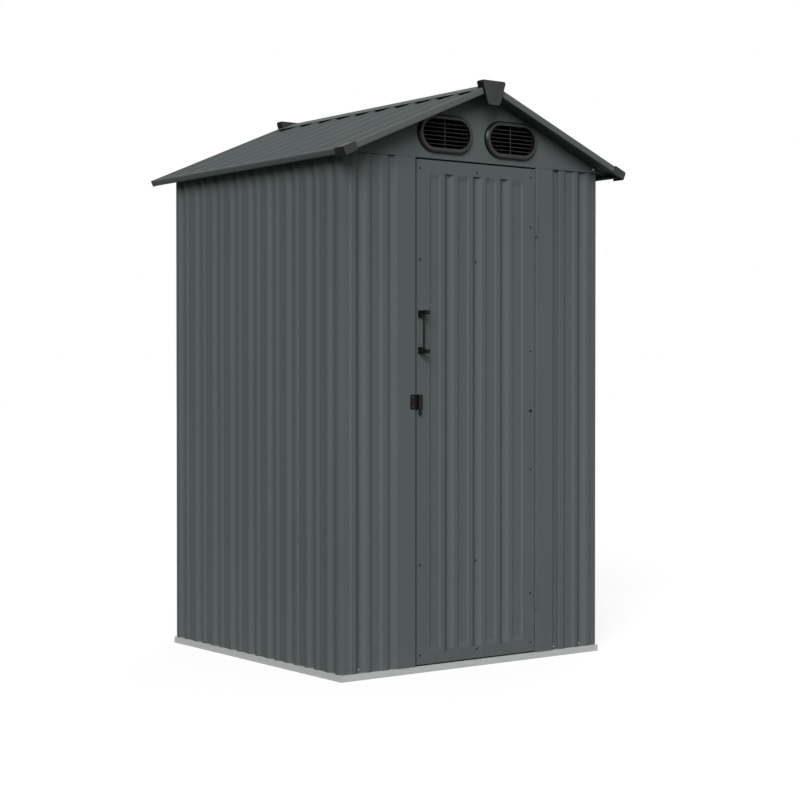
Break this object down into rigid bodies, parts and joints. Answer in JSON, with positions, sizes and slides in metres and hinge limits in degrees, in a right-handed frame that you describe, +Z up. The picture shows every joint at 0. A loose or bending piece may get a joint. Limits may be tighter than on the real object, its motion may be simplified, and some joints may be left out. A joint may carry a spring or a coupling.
{
  "type": "metal storage shed",
  "caption": "Small apex garden shed of ribbed painted steel sheet on a galvanised base frame, with a hinged front door, gable vents and moulded roof caps.",
  "frame": {"origin": "on the ground, under the middle of the base frame", "axes": "+X to the right across the front, -Y out of the front, +Z up"},
  "size_m": [1.1344, 1.172, 1.8294],
  "materials": {
    "galvanised": "dull zinc",
    "painted_wall": "satin paint",
    "painted_roof": "satin paint",
    "black_plastic": "satin"
  },
  "bodies": {
    "shed": {"base_rail_front": "galvanised", "base_rail_back": "galvanised", "base_rail_left": "galvanised", "base_rail_right": "galvanised", "mid_rails": "galvanised", "ridge_beam": "galvanised", "top_rail_left": "galvanised", "top_rail_right": "galvanised", "top_rail_back": "galvanised", "front_lintel": "galvanised", "left_wall": "painted_wall", "right_wall": "painted_wall", "back_wall": "painted_wall", "front_panel_left": "painted_wall", "front_panel_right": "painted_wall", "corner_front_left": "painted_wall", "corner_front_right": "painted_wall", "corner_back_left": "painted_wall", "corner_back_right": "painted_wall", "door_jamb_left": "painted_wall", "door_jamb_right": "painted_wall", "front_gable": "painted_wall", "back_gable": "painted_wall", "hinge_frame_leaves": "painted_wall", "roof_panel_left": "painted_roof", "roof_panel_right": "painted_roof", "ridge_cover": "painted_roof", "eave_trim_left": "painted_roof", "eave_trim_right": "painted_roof", "verge_trim_front_left": "painted_roof", "verge_trim_front_right": "painted_roof", "verge_trim_back_left": "painted_roof", "verge_trim_back_right": "painted_roof", "ridge_cap_front": "black_plastic", "ridge_cap_back": "black_plastic", "eave_caps_left": "black_plastic", "eave_caps_right": "black_plastic", "vent_left": "black_plastic", "vent_right": "black_plastic", "latch_keeper": "black_plastic"},
    "door": {"door_panel": "painted_wall", "door_braces": "galvanised", "hinge_door_leaves": "painted_wall", "door_handle": "black_plastic", "latch_barrel": "black_plastic"}
  },
  "joints": [
    {"name": "door_hinge", "type": "hinge", "parent": "shed", "child": "door", "pos_m": [0.24025, -0.5085, 0.8], "axis": [0, 0, 1], "range_deg": [0, 120]}
  ]
}
